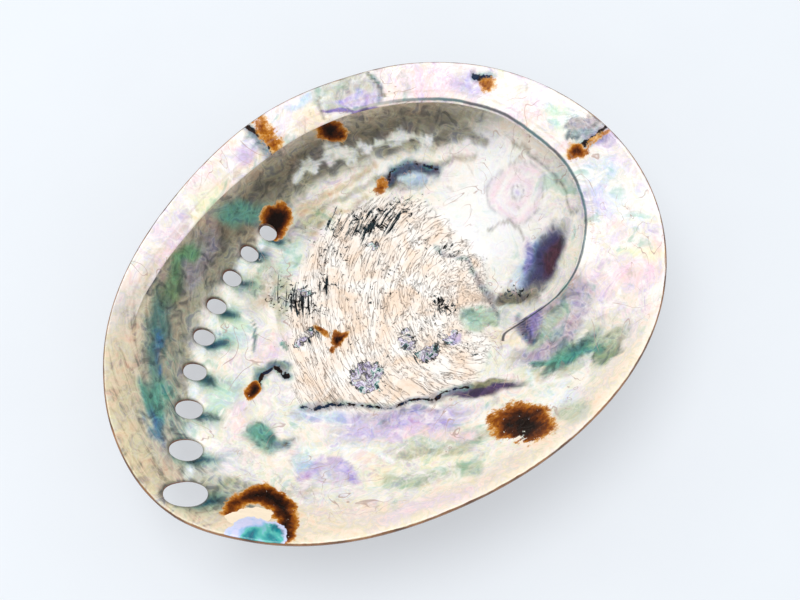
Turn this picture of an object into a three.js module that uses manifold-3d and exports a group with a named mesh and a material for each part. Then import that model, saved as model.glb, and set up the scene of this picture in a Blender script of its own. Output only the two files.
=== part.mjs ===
// Abalone shell, lying on its back with the mouth up, as one closed solid.
// Units are millimetres. +Z is up, +X runs along the shell to its spire end, and +Y to the side that carries
// the shelf and the row of holes. The origin is on the surface that the shell rests on.
//
// The wall is lofted: a profile is drawn in each of COLUMNS half planes round the middle of the bowl, from the
// inside of the floor, under the shelf and back over it, across the rim and down the outside. Where the shell
// has no shelf, the stretch of the profile under the shelf shrinks to one point.
import * as THREE from "three";
import { mergeVertices } from "three/addons/utils/BufferGeometryUtils.js";
import Module from "manifold-3d";

const RAD = Math.PI / 180;

// ---- driving dimensions ----
const HALF_LENGTH = 88.4; // of the rim's ellipse
const HALF_WIDTH = 68.3;
const HEIGHT = 47.5; // of the rim above the resting surface
const EGG = 1.55; // how far the outline leaves the ellipse
const EGG_TURN = 40; // degrees
const FLOOR_WALL = 4.2; // wall thickness, measured upright
const RIM_WALL = 2.8;
const RESTING_CUT = 0.35; // depth worn off the back, which leaves a flat to rest on
const LIP_SLOPE = 0.3; // of the polished lip, rise over run
const LIP_BLEND = 1.6; // height over which the wall and the lip run into each other
const LIP_ROUND = 0.9; // radius of the rim's outer corner

// ---- the spiral that the shell grew along, seen from above ----
const APEX = { x: 48, y: -12 };
const SPIRAL_RATE = 0.503; // growth in radius for each radian
const NEWEST_HOLE = { turn: 184.2, reach: 127.3 }; // direction from the apex in degrees, and distance
const ROW_BOW = { rise: 3.7, turn: 157, width: 22 }; // how the row of holes bows out of the spiral
const HOLE_COUNT = 9;
const HOLE_STEP = 6.1; // degrees between the two newest holes
const HOLE_CLOSING = 0.065; // degrees that each later step is shorter by, halved
const HOLE_AXIS = 150; // direction of the long axis of every hole, degrees
const CUTTER = { length: 34, lean: 0.35 }; // lean: share of the wall's slope that a hole leans with
const GROOVE = { depth: 2.4, width: 7.5, starts: [70, 110], ends: [186, 200] }; // the holes' channel, turns
const SPIRE = { depth: 7, width: 15 }; // how far the spire stands out of the back

// ---- mesh density ----
const COLUMNS = 76;
const ROWS = { floor: 9, under: 4, edge: 2, top: 6, lip: 2, back: 13 };
const HOLE_SIDES = 14;

// A smooth periodic function of an angle in degrees, through [angle, value] knots in rising order.
function ring(knots) {
  const count = knots.length;
  const gap = (i) =>
    (((knots[(i + 1) % count][0] - knots[i % count][0]) % 360) + 360) % 360;
  const rise = (i) =>
    (knots[(i + 1) % count][1] - knots[i % count][1]) / gap(i);
  const slope = (i) => {
    const before = rise((i + count - 1) % count);
    const after = rise(i % count);
    return before * after > 0 ? (2 * before * after) / (before + after) : 0;
  };
  return (angle) => {
    const a = ((((angle - knots[0][0]) % 360) + 360) % 360) + knots[0][0];
    let i = count - 1;
    while (i > 0 && knots[i][0] > a) i--;
    const span = gap(i);
    const t = (a - knots[i][0]) / span;
    const from = knots[i][1];
    const to = knots[(i + 1) % count][1];
    const bend = t * (1 - t);
    return (
      from +
      (to - from) * t * t * (3 - 2 * t) +
      bend * span * ((1 - t) * slope(i) - t * slope(i + 1))
    );
  };
}

// ---- how the shell changes round the rim; 0 degrees is the spire end, 90 the shelf side ----
const wallPower = ring([
  [0, 3.1], [40, 3.5], [90, 3.5], [130, 3.1], [160, 2.55], [195, 2.2], [235, 2.2], [275, 2.3], [315, 2.5],
]);
const rimTrim = ring([
  [0, -0.8], [15, -0.5], [40, 0.6], [55, 0.3], [72, -0.6], [95, -0.1], [130, -0.8], [165, -0.8], [178, 0.1],
  [197, 2.1], [212, 0.7], [245, -0.1], [270, -0.8], [297, -1.5], [330, -0.5],
]);
const rimDip = ring([[10, 0], [90, 1.2], [150, 0.8], [200, 3.2], [265, 2.2], [320, 0.4]]);
const shelfWidth = ring([
  [0, 18.6], [8, 16.4], [18, 15], [30, 12.4], [45, 11.1], [100, 10.8], [130, 9.8], [150, 7.6], [170, 7],
  [200, 12], [270, 26], [300, 36], [316, 40.4], [323, 43.2], [328, 38.6], [334, 31.2], [340, 26.8],
  [347, 23.6], [353, 21],
]);
const shelfStrength = ring([
  [10, 1], [120, 1], [138, 0.86], [150, 0.42], [163, 0], [313, 0], [322, 0.3], [330, 0.74], [342, 1],
]);
const edgeHeight = ring([
  [0, 39], [8, 40.2], [18, 41.6], [30, 43], [90, 43], [160, 43], [300, 20], [323, 21], [328, 26], [334, 32],
  [340, 35], [347, 37.2],
]);
const shelfCurve = ring([[0, 1], [30, 0.85], [120, 0.85], [200, 1], [310, 1.7], [330, 1.5]]);
const overhang = ring([
  [0, 9], [20, 7.5], [40, 6.2], [60, 5.8], [90, 6.2], [120, 5], [140, 2.4], [152, 0.8], [163, 0], [315, 0],
  [320, 5], [326, 11], [332, 13.5], [340, 12], [350, 10.5],
]);
const edgeThickness = ring([[0, 1.2], [30, 1.5], [120, 1.6], [180, 1.5], [316, 4], [326, 3.4], [340, 1.8]]);

// ---- plan curves ----
function oval(angle) {
  const c = Math.cos(angle * RAD);
  const s = Math.sin(angle * RAD);
  const ellipse = (HALF_LENGTH * HALF_WIDTH) / Math.hypot(HALF_WIDTH * c, HALF_LENGTH * s);
  return ellipse - EGG * Math.cos((3 * angle - EGG_TURN) * RAD);
}
const rimRadius = (angle) => oval(angle) + rimTrim(angle);
const rimHeight = (angle) => HEIGHT - rimDip(angle);
const shelfRadius = (angle) => oval(angle) - shelfWidth(angle);

const bell = (distance, width) => Math.exp(-((distance / width) ** 2));
const ease = (from, to, x) => THREE.MathUtils.smoothstep(x, from, to);

// Distance of the line of holes from the apex.
function holeLine(turn) {
  const spiral = NEWEST_HOLE.reach * Math.exp(SPIRAL_RATE * (turn - NEWEST_HOLE.turn) * RAD);
  return spiral + ROW_BOW.rise * bell(turn - ROW_BOW.turn, ROW_BOW.width);
}

// Where a point stands on the growth spiral: its direction from the apex, and its distance from the line of holes.
function onSpiral(x, y) {
  const dx = x - APEX.x;
  const dy = y - APEX.y;
  const reach = Math.hypot(dx, dy);
  const turn = (Math.atan2(dy, dx) / RAD + 360) % 360;
  return { reach, turn, offLine: (reach - holeLine(turn)) / Math.hypot(1, SPIRAL_RATE) };
}

// ---- the two faces of the wall, as heights over the plan ----
// The channel of the holes and the spire push both faces out of the bowl.
function relief(x, y) {
  const s = onSpiral(x, y);
  const along = ease(...GROOVE.starts, s.turn) * (1 - ease(...GROOVE.ends, s.turn));
  return GROOVE.depth * bell(s.offLine, GROOVE.width) * along + SPIRE.depth * bell(s.reach, SPIRE.width);
}
function bowl(r, angle) {
  const share = Math.min(r / rimRadius(angle), 1.02);
  const nearRim = 1 - ease(0.9, 1, share);
  const x = r * Math.cos(angle * RAD);
  const y = r * Math.sin(angle * RAD);
  return rimHeight(angle) * share ** wallPower(angle) - RESTING_CUT - relief(x, y) * nearRim;
}
const backHeight = (r, angle) => Math.max(bowl(r, angle), 0);
function floorHeight(r, angle) {
  const gap = rimRadius(angle) - r;
  const share = 1 - gap / rimRadius(angle);
  const wall = FLOOR_WALL + (RIM_WALL - FLOOR_WALL) * share ** 3;
  const inside = Math.max(bowl(r, angle), 0) + wall;
  const lip = rimHeight(angle) - LIP_SLOPE * gap;
  const over = Math.max(LIP_BLEND - Math.abs(inside - lip), 0) / LIP_BLEND;
  return Math.min(inside, lip) - (over * over * LIP_BLEND) / 4;
}
function topHeight(r, angle) {
  const start = shelfRadius(angle);
  const share = THREE.MathUtils.clamp((r - start) / (rimRadius(angle) - start), 0, 1);
  const edge = edgeHeight(angle);
  const shelf = edge + (rimHeight(angle) - edge) * share ** shelfCurve(angle);
  return THREE.MathUtils.lerp(floorHeight(r, angle), shelf, shelfStrength(angle));
}

// ---- the profile in one half plane, as [radius, height] points from the inner middle to the outer middle ----
const steps = (count, from = 0) => Array.from({ length: count }, (_, i) => (i + from) / count);
const crowded = (t) => (t + Math.sin((t * Math.PI) / 2)) / 2; // closer together towards the rim

function profile(angle) {
  const rim = rimRadius(angle);
  const edge = shelfRadius(angle);
  const reach = overhang(angle);
  const rise = topHeight(edge, angle) - floorHeight(edge, angle);
  const skin = Math.min(edgeThickness(angle), 0.6 * rise);
  const points = steps(ROWS.floor, 1).map((t) => [edge * t, floorHeight(edge * t, angle)]);

  // under the shelf and back: the two faces close on each other at the far end
  const under = (t, side) => {
    const r = edge + reach * t;
    const low = floorHeight(r, angle);
    const high = topHeight(r, angle) - skin * (1 + 0.9 * t);
    const open = Math.sqrt(Math.max(1 - t ** 4, 0));
    return [r, (low + high) / 2 + (side * (high - low) * open) / 2];
  };
  steps(ROWS.under, 1).forEach((t) => points.push(under(t, -1)));
  steps(ROWS.under, 1).reverse().forEach((t) => points.push(under(t - 1 / ROWS.under, 1)));

  // the rounded free edge of the shelf
  steps(ROWS.edge, 1).forEach((t) => {
    const turn = t * Math.PI;
    const height = topHeight(edge, angle) - (skin / 2) * (1 + Math.cos(turn));
    points.push([edge - (skin / 2) * Math.sin(turn), height]);
  });

  steps(ROWS.top, 1).forEach((t) => {
    const r = edge + (rim - LIP_ROUND - edge) * t;
    points.push([r, topHeight(r, angle)]);
  });

  // the rim's rounded outer corner
  const lipTop = topHeight(rim - LIP_ROUND, angle);
  const lipLow = rimHeight(angle) - 2 * LIP_ROUND;
  steps(ROWS.lip, 1).forEach((t) => {
    const turn = (t * Math.PI) / 2;
    points.push([rim - LIP_ROUND * (1 - Math.sin(turn)), lipLow + (lipTop - lipLow) * Math.cos(turn)]);
  });

  // the back, from where it reaches the corner's height
  const start = ((lipLow + RESTING_CUT) / rimHeight(angle)) ** (1 / wallPower(angle));
  steps(ROWS.back, 1).slice(0, -1).reverse().forEach((t) => {
    const r = rim * Math.min(start, 1) * crowded(t);
    points.push([r, backHeight(r, angle)]);
  });
  return points;
}

// ---- the loft ----
function wallGeometry() {
  const columns = steps(COLUMNS).map((t) => ({ angle: 360 * t, points: profile(360 * t) }));
  const rows = columns[0].points.length;
  const positions = [];
  columns.forEach(({ angle, points }) => {
    const c = Math.cos(angle * RAD);
    const s = Math.sin(angle * RAD);
    points.forEach(([r, z]) => positions.push(r * c, r * s, z));
  });
  const insideMiddle = positions.length / 3;
  positions.push(0, 0, floorHeight(0, 0), 0, 0, backHeight(0, 0));
  const outsideMiddle = insideMiddle + 1;

  const faces = [];
  const at = (column, row) => (column % COLUMNS) * rows + row;
  for (let i = 0; i < COLUMNS; i++) {
    faces.push(insideMiddle, at(i, 0), at(i + 1, 0));
    for (let j = 0; j < rows - 1; j++) {
      faces.push(at(i, j), at(i, j + 1), at(i + 1, j + 1));
      faces.push(at(i, j), at(i + 1, j + 1), at(i + 1, j));
    }
    faces.push(outsideMiddle, at(i + 1, rows - 1), at(i, rows - 1));
  }
  const geometry = new THREE.BufferGeometry();
  geometry.setAttribute("position", new THREE.Float32BufferAttribute(positions, 3));
  geometry.setIndex(faces);
  return geometry;
}

// ---- the open holes, newest first ----
function holes() {
  return Array.from({ length: HOLE_COUNT }, (_, i) => {
    const turn = NEWEST_HOLE.turn - HOLE_STEP * i + HOLE_CLOSING * i * i;
    const reach = holeLine(turn);
    return {
      x: APEX.x + reach * Math.cos(turn * RAD),
      y: APEX.y + reach * Math.sin(turn * RAD),
      halfLength: 2.6 + 3.4 * Math.exp(-i / 2), // along HOLE_AXIS and square to it
      halfWidth: 2.35 + 1.85 * Math.exp(-i / 2.5),
    };
  });
}

// A cutter through the wall, leaning part of the way from upright to square with the wall.
function holeCutter(hole) {
  const angle = Math.atan2(hole.y, hole.x) / RAD;
  const r = Math.hypot(hole.x, hole.y);
  const rise = backHeight(r + 1, angle) - backHeight(r, angle);
  const lean = Math.atan(rise) * CUTTER.lean;
  const cutter = new THREE.CylinderGeometry(1, 1, CUTTER.length, HOLE_SIDES);
  cutter.rotateX(90 * RAD);
  cutter.scale(hole.halfLength, hole.halfWidth, 1);
  cutter.rotateZ((HOLE_AXIS - angle) * RAD);
  cutter.rotateY(-lean);
  cutter.rotateZ(angle * RAD);
  cutter.translate(hole.x, hole.y, backHeight(r, angle) + FLOOR_WALL / 2);
  return cutter;
}

// ---- booleans ----
const wasm = await Module();
wasm.setup();

function toSolid(geometry) {
  const bare = new THREE.BufferGeometry();
  const source = geometry.index ? geometry.toNonIndexed() : geometry;
  bare.setAttribute("position", source.getAttribute("position"));
  const merged = mergeVertices(bare, 1e-4);
  return new wasm.Manifold(
    new wasm.Mesh({
      numProp: 3,
      vertProperties: merged.attributes.position.array,
      triVerts: new Uint32Array(merged.index.array),
    }),
  );
}

function toGeometry(solid) {
  const mesh = solid.getMesh();
  const geometry = new THREE.BufferGeometry();
  geometry.setAttribute("position", new THREE.BufferAttribute(mesh.vertProperties.slice(), 3));
  geometry.setIndex(new THREE.BufferAttribute(mesh.triVerts.slice(), 1));
  geometry.computeVertexNormals();
  return geometry;
}

function shell() {
  const cutters = holes().map((hole) => toSolid(holeCutter(hole)));
  const solid = cutters.reduce((left, cutter) => left.subtract(cutter), toSolid(wallGeometry()));
  const nacre = new THREE.MeshStandardMaterial({ color: 0xd9d2c6, roughness: 0.28, metalness: 0.05 });
  const mesh = new THREE.Mesh(toGeometry(solid), nacre);
  mesh.name = "shell";
  return mesh;
}

const abalone = new THREE.Group();
abalone.add(shell());
export default abalone;
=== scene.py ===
"""Looks of the abalone shell: a fine mesh that stands for the CAD wall, and a plain studio.

Lengths are in millimetres up to the last step, where MM turns them into metres. The plan is seen from above:
+X runs to the spire end and +Y to the side with the shelf and the row of holes. Angles are in degrees.
"""

import bmesh
import bpy
import numpy as np
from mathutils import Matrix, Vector


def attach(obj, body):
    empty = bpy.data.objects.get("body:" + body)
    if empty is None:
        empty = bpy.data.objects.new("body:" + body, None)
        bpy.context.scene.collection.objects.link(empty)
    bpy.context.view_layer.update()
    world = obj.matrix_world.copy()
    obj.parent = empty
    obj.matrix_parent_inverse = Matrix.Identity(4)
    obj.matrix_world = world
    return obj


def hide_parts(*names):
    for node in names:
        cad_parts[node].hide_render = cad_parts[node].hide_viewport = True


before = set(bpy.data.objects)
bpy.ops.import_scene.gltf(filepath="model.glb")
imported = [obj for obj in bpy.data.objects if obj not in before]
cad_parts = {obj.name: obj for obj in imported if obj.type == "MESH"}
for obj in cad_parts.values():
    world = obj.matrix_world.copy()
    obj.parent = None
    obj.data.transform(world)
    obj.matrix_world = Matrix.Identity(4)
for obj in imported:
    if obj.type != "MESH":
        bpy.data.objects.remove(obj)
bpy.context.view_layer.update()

# ---- driving dimensions, as in the CAD ----
MM = 0.001
HALF_LENGTH = 88.4
HALF_WIDTH = 68.3
HEIGHT = 47.5
EGG, EGG_TURN = 1.55, 40
FLOOR_WALL, RIM_WALL = 4.2, 2.8
RESTING_CUT = 0.35
LIP_SLOPE, LIP_BLEND = 0.3, 1.6
LIP_ROUND = 0.9
APEX = (48, -12)
SPIRAL_RATE = 0.503
NEWEST_TURN, NEWEST_REACH = 184.2, 127.3
BOW_RISE, BOW_TURN, BOW_WIDTH = 3.7, 157, 22
HOLE_COUNT = 9
HOLE_STEP, HOLE_CLOSING = 6.1, 0.065
HOLE_AXIS = 150
GROOVE_DEPTH, GROOVE_WIDTH = 2.4, 7.5
SPIRE_DEPTH, SPIRE_WIDTH = 7, 15

# ---- mesh density ----
COLUMNS = 450
ROWS = {"floor": 80, "under": 10, "edge": 4, "top": 30, "lip": 4, "back": 64}
COLLAR_POINTS = 48

# ---- the rounded collar of a hole: its width, the gap beyond it, and how far it is rounded over ----
COLLAR_MARGIN = 1.2
COLLAR_GAP = 0.35
COLLAR_ROUND = 1.1

RAD = np.pi / 180


# ---- small helpers ----
def ring(*knots):
    """A smooth periodic function of an angle in degrees, through (angle, value) knots in rising order."""
    angles = np.array([k[0] for k in knots], float)
    values = np.array([k[1] for k in knots], float)
    spans = (np.roll(angles, -1) - angles) % 360
    rises = (np.roll(values, -1) - values) / spans
    before = np.roll(rises, 1)
    same_way = before * rises > 0
    slopes = np.where(same_way, 2 * before * rises / np.where(same_way, before + rises, 1), 0)

    def value(angle):
        turned = (np.asarray(angle, float) - angles[0]) % 360 + angles[0]
        i = np.clip(np.searchsorted(angles, turned, side="right") - 1, 0, len(angles) - 1)
        j = (i + 1) % len(angles)
        t = (turned - angles[i]) / spans[i]
        step = t * t * (3 - 2 * t)
        bend = t * (1 - t) * spans[i]
        return values[i] + (values[j] - values[i]) * step + bend * ((1 - t) * slopes[i] - t * slopes[j])

    return value


def ease(low, high, x):
    t = np.clip((x - low) / (high - low), 0, 1)
    return t * t * (3 - 2 * t)


def mix(a, b, share):
    return a + (b - a) * share


def bell(distance, width):
    return np.exp(-((distance / width) ** 2))


def noise(x, y, size, seed=0, octaves=1):
    """Gradient noise over the plan, from about -1 to 1. size is the width of its largest lumps."""
    total, strength = np.zeros_like(np.asarray(x, float)), 1.0
    for octave in range(octaves):
        rng = np.random.default_rng(1000 + 17 * seed + octave)
        order = rng.permutation(256)
        turns = rng.uniform(0, 2 * np.pi, 256)
        u, v = np.asarray(x) / size + 37.7, np.asarray(y) / size + 11.3
        i, j = np.floor(u).astype(int), np.floor(v).astype(int)
        a, b = u - i, v - j
        corner = {}
        for di in (0, 1):
            for dj in (0, 1):
                turn = turns[order[(order[(i + di) % 256] + j + dj) % 256]]
                corner[di, dj] = np.cos(turn) * (a - di) + np.sin(turn) * (b - dj)
        sa, sb = a**3 * (a * (6 * a - 15) + 10), b**3 * (b * (6 * b - 15) + 10)
        low = mix(corner[0, 0], corner[1, 0], sa)
        high = mix(corner[0, 1], corner[1, 1], sa)
        total += strength * 1.5 * mix(low, high, sb)
        size, strength = size / 2, strength / 2
    return total


def polar(x, y):
    return np.hypot(x, y), np.arctan2(y, x) / RAD % 360


def plan(r, angle):
    return r * np.cos(angle * RAD), r * np.sin(angle * RAD)


# ---- how the shell changes round the rim ----
wall_power = ring(
    (0, 3.1), (40, 3.5), (90, 3.5), (130, 3.1), (160, 2.55), (195, 2.2), (235, 2.2), (275, 2.3), (315, 2.5)
)
rim_trim = ring(
    (0, -0.8), (15, -0.5), (40, 0.6), (55, 0.3), (72, -0.6), (95, -0.1), (130, -0.8), (165, -0.8), (178, 0.1),
    (197, 2.1), (212, 0.7), (245, -0.1), (270, -0.8), (297, -1.5), (330, -0.5),
)
rim_dip = ring((10, 0), (90, 1.2), (150, 0.8), (200, 3.2), (265, 2.2), (320, 0.4))
shelf_width = ring(
    (0, 18.6), (8, 16.4), (18, 15), (30, 12.4), (45, 11.1), (100, 10.8), (130, 9.8), (150, 7.6), (170, 7),
    (200, 12), (270, 26), (300, 36), (316, 40.4), (323, 43.2), (328, 38.6), (334, 31.2), (340, 26.8),
    (347, 23.6), (353, 21),
)
shelf_strength = ring(
    (10, 1), (120, 1), (138, 0.86), (150, 0.42), (163, 0), (313, 0), (322, 0.3), (330, 0.74), (342, 1)
)
edge_height = ring(
    (0, 39), (8, 40.2), (18, 41.6), (30, 43), (90, 43), (160, 43), (300, 20), (323, 21), (328, 26), (334, 32),
    (340, 35), (347, 37.2),
)
shelf_curve = ring((0, 1), (30, 0.85), (120, 0.85), (200, 1), (310, 1.7), (330, 1.5))
overhang = ring(
    (0, 9), (20, 7.5), (40, 6.2), (60, 5.8), (90, 6.2), (120, 5), (140, 2.4), (152, 0.8), (163, 0), (315, 0),
    (320, 5), (326, 11), (332, 13.5), (340, 12), (350, 10.5),
)
edge_thickness = ring((0, 1.2), (30, 1.5), (120, 1.6), (180, 1.5), (316, 4), (326, 3.4), (340, 1.8))


def oval(angle):
    ellipse = HALF_LENGTH * HALF_WIDTH
    ellipse = ellipse / np.hypot(HALF_WIDTH * np.cos(angle * RAD), HALF_LENGTH * np.sin(angle * RAD))
    return ellipse - EGG * np.cos((3 * angle - EGG_TURN) * RAD)


def rim_radius(angle):
    return oval(angle) + rim_trim(angle)


def rim_height(angle):
    return HEIGHT - rim_dip(angle)


def shelf_radius(angle):
    return oval(angle) - shelf_width(angle)


# ---- the spiral that the shell grew along ----
def hole_line(turn):
    """Distance of the line of holes from the apex."""
    spiral = NEWEST_REACH * np.exp(SPIRAL_RATE * (turn - NEWEST_TURN) * RAD)
    return spiral + BOW_RISE * bell(turn - BOW_TURN, BOW_WIDTH)


def on_spiral(x, y):
    """Distance from the apex, direction from it, and distance from the line of holes."""
    reach, turn = polar(x - APEX[0], y - APEX[1])
    return reach, turn, (reach - hole_line(turn)) / np.hypot(1, SPIRAL_RATE)


def hole_row():
    """The open holes, newest first: place in plan, and half widths along HOLE_AXIS and square to it."""
    made = []
    for i in range(HOLE_COUNT):
        turn = NEWEST_TURN - HOLE_STEP * i + HOLE_CLOSING * i * i
        x = APEX[0] + hole_line(turn) * np.cos(turn * RAD)
        y = APEX[1] + hole_line(turn) * np.sin(turn * RAD)
        half_length, half_width = 2.6 + 3.4 * np.exp(-i / 2), 2.35 + 1.85 * np.exp(-i / 2.5)
        made.append({"x": x, "y": y, "half": (half_length, half_width)})
    return made


HOLES = hole_row()


# ---- the two faces of the wall, as heights over the plan ----
def relief(x, y):
    """The channel of the holes and the spire push both faces out of the bowl."""
    reach, turn, off_line = on_spiral(x, y)
    along = ease(70, 110, turn) * (1 - ease(186, 200, turn))
    return GROOVE_DEPTH * bell(off_line, GROOVE_WIDTH) * along + SPIRE_DEPTH * bell(reach, SPIRE_WIDTH)


def bowl(r, angle):
    share = np.minimum(r / rim_radius(angle), 1.02)
    near_rim = 1 - ease(0.9, 1, share)
    pushed = relief(*plan(r, angle)) * near_rim
    return rim_height(angle) * share ** wall_power(angle) - RESTING_CUT - pushed


def back_height(r, angle):
    return np.maximum(bowl(r, angle), 0)


def floor_height(r, angle):
    gap = rim_radius(angle) - r
    share = r / rim_radius(angle)
    wall = FLOOR_WALL + (RIM_WALL - FLOOR_WALL) * share**3
    inside = back_height(r, angle) + wall
    lip = rim_height(angle) - LIP_SLOPE * gap
    over = np.maximum(LIP_BLEND - np.abs(inside - lip), 0) / LIP_BLEND
    return np.minimum(inside, lip) - over**2 * LIP_BLEND / 4


def shelf_height(r, angle):
    start = shelf_radius(angle)
    share = np.clip((r - start) / (rim_radius(angle) - start), 0, 1)
    edge = edge_height(angle)
    return edge + (rim_height(angle) - edge) * share ** shelf_curve(angle)


# ---- things that stand on the inside of the wall, in plan ----
SCAR_MIDDLE = (4.7, 3.5)
SCAR_GROWTH = (32, -8)
scar_reach = ring(
    (17, 32.5), (50, 36), (95, 34.5), (138, 32), (170, 36), (200, 42), (218, 36), (250, 32),
    (291, 34.5), (317, 31.5),
)
SEALED_HOLES = [(-2, 53), (5, 54), (11, 53.6), (17.6, 52), (27.6, 49.7), (35, 47.5), (42, 44)]
PEARL = (56.4, 15)


def scar_share(x, y, edge=2.0):
    """1 on the muscle scar, 0 outside it."""
    r, angle = polar(x - SCAR_MIDDLE[0], y - SCAR_MIDDLE[1])
    return 1 - ease(-edge, edge, r - scar_reach(angle) + 1.5 * noise(x, y, 9, 5, 2))


def scar_arcs(x, y):
    """Distance across and along the arcs that the scar grew in."""
    dx, dy = x - SCAR_GROWTH[0], y - SCAR_GROWTH[1]
    return np.hypot(dx, dy), np.arctan2(-dy, -dx) * 30


def oval_gap(x, y, at, half, direction):
    """Distance from the middle of an oval, 1 on its edge."""
    dx, dy = x - at[0], y - at[1]
    c, s = np.cos(direction * RAD), np.sin(direction * RAD)
    return np.hypot((dx * c + dy * s) / half[0], (dy * c - dx * s) / half[1])


def path_gap(x, y, points):
    """Distance from a line through the given points."""
    nearest = np.full(np.shape(x), 1e9)
    for (ax, ay), (bx, by) in zip(points[:-1], points[1:]):
        length = (bx - ax) ** 2 + (by - ay) ** 2
        t = np.clip(((x - ax) * (bx - ax) + (y - ay) * (by - ay)) / length, 0, 1)
        nearest = np.minimum(nearest, np.hypot(x - ax - t * (bx - ax), y - ay - t * (by - ay)))
    return nearest


def hole_gap(x, y):
    """Distance from the nearest hole's edge, in half widths."""
    return np.min([oval_gap(x, y, (h["x"], h["y"]), h["half"], HOLE_AXIS) for h in HOLES], axis=0)


def inner_relief(x, y):
    across, along = scar_arcs(x, y)
    scar = scar_share(x, y)
    ridges = 0.3 * noise(across, along / 5, 2.6, 6, 2) + 0.2 * noise(x, y, 4, 7, 2)
    up = scar * (0.6 + ridges) + (1 - scar) * 0.35 * noise(x, y, 15, 8, 2)
    for i, (sx, sy) in enumerate(SEALED_HOLES):
        up = up + (1.5 - 0.1 * i) * bell(np.hypot(x - sx, y - sy), 4.2)
    pearl = np.hypot(x - PEARL[0], y - PEARL[1])
    up = up + 0.9 * bell(pearl, 2.6) + 0.35 * bell(pearl - 7.5, 1.2)
    return up - 0.9 * bell(np.maximum(hole_gap(x, y) - 1, 0), 0.7)


# ---- things that stand on the back ----
def rim_reach(turn):
    """Distance of the rim from the apex."""
    angles = np.arange(0, 360, 2)
    reach, turns = polar(*np.subtract(plan(rim_radius(angles), angles), np.reshape(APEX, (2, 1))))
    order = np.argsort(turns)
    return np.interp(turn, turns[order], reach[order], period=360)


SUTURE_TURN, SUTURE_REACH, SUTURE_RATE = 35, 46.6, 0.62


def coil(reach, turn):
    """The whorls of the spire: bulges between the turns of the suture, and 0 on the last whorl."""
    pitch = 2 * np.pi * SUTURE_RATE
    first = SUTURE_REACH * np.exp(SUTURE_RATE * ((turn - SUTURE_TURN + 300) % 360 - 300) * RAD)
    wraps = (np.log(np.maximum(reach, 0.5)) - np.log(first)) / pitch
    within = wraps % 1
    inside = 1 - ease(-0.02, 0.06, wraps)
    bulge = np.minimum(0.16 * reach, 2.6)
    groove = np.minimum(0.1 * reach, 1.3) * (bell(within, 0.07) + bell(1 - within, 0.07))
    return inside * bulge * np.sin(np.pi * within**0.8) - groove * (1 - ease(0.5, 0.9, wraps))


def outer_relief(x, y):
    """How far the back stands out, downward."""
    reach, turn, _ = on_spiral(x, y)
    age = reach / rim_reach(turn)
    ripples = 0.45 * noise(age * 90, turn * 0.02, 4, 9, 2) + 0.25 * noise(x, y, 6, 10, 2)
    cords = (np.log(np.maximum(reach, 1)) - SPIRAL_RATE * turn * RAD) / 0.06
    cord = 0.22 * np.sin(2 * np.pi * cords) * ease(8, 30, reach)
    out = coil(reach, turn) + (ripples + cord) * ease(4, 14, reach) * (1 - ease(0.93, 1, age))
    for sx, sy in SEALED_HOLES:
        out = out + 1.2 * bell(np.hypot(x - sx, y - sy), 3.2)
    return out + 1.3 * bell(np.maximum(hole_gap(x, y) - 1, 0), 0.45)


def inside(r, angle):
    within = 1 - ease(0.9, 0.98, r / rim_radius(angle))
    return floor_height(r, angle) + inner_relief(*plan(r, angle)) * within


def outside(r, angle):
    return np.maximum(bowl(r, angle) - outer_relief(*plan(r, angle)), 0)


def top(r, angle):
    """Height of the shelf where there is one, and of the inside where there is none."""
    x, y = plan(r, angle)
    waves = 0.18 * noise(x, y, 13, 11, 2) * ease(0, 4, rim_radius(angle) - r)
    return mix(inside(r, angle), shelf_height(r, angle) + waves, shelf_strength(angle))


# ---- the loft: one row of points after another, from the inner middle to the outer middle ----
BOWL, SHELF, BACK, ANY = 0, 1, 2, 3


def steps(count, low=0.0, high=1.0):
    """count shares from just above low up to high."""
    return low + (high - low) * np.arange(1, count + 1) / count


def loft(angles):
    """Radius and height of every row (first axis) and column, and the side of the wall of each row."""
    rim, edge, reach = rim_radius(angles), shelf_radius(angles), overhang(angles)
    edge_top = top(edge, angles)
    skin = np.minimum(edge_thickness(angles), 0.6 * (edge_top - inside(edge, angles)))
    rows, sides = [], []

    def add(side, r, z):
        rows.append((r, z))
        sides.append(side)

    def under(t, direction):
        r = edge + reach * t
        low = inside(r, angles)
        high = top(r, angles) - skin * (1 + 0.9 * t)
        opening = np.sqrt(max(1 - t**4, 0))
        add(BOWL, r, (low + high) / 2 + direction * (high - low) * opening / 2)

    for t in steps(ROWS["floor"]) ** 0.85:
        add(BOWL, edge * t, inside(edge * t, angles))
    for t in np.sin(steps(ROWS["under"]) * np.pi / 2):
        under(t, -1)
    for t in np.sin(steps(ROWS["under"], 1, 0) * np.pi / 2):
        under(t, 1)
    for t in steps(ROWS["edge"]):
        turn = t * np.pi
        add(SHELF, edge - skin / 2 * np.sin(turn), edge_top - skin / 2 * (1 + np.cos(turn)))
    for t in steps(ROWS["top"]):
        r = edge + (rim - LIP_ROUND - edge) * t
        add(SHELF, r, top(r, angles))
    lip_top = top(rim - LIP_ROUND, angles)
    lip_low = rim_height(angles) - 2 * LIP_ROUND
    for t in steps(ROWS["lip"]):
        turn = t * np.pi / 2
        add(SHELF, rim - LIP_ROUND * (1 - np.sin(turn)), lip_low + (lip_top - lip_low) * np.cos(turn))
    start = ((lip_low + RESTING_CUT) / rim_height(angles)) ** (1 / wall_power(angles))
    for t in steps(ROWS["back"], 1, 0)[:-1]:
        r = rim * np.minimum(start, 1) * (t + np.sin(t * np.pi / 2)) / 2
        add(BACK, r, outside(r, angles))
    return np.array([r for r, _ in rows]), np.array([z for _, z in rows]), np.array(sides)


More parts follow.
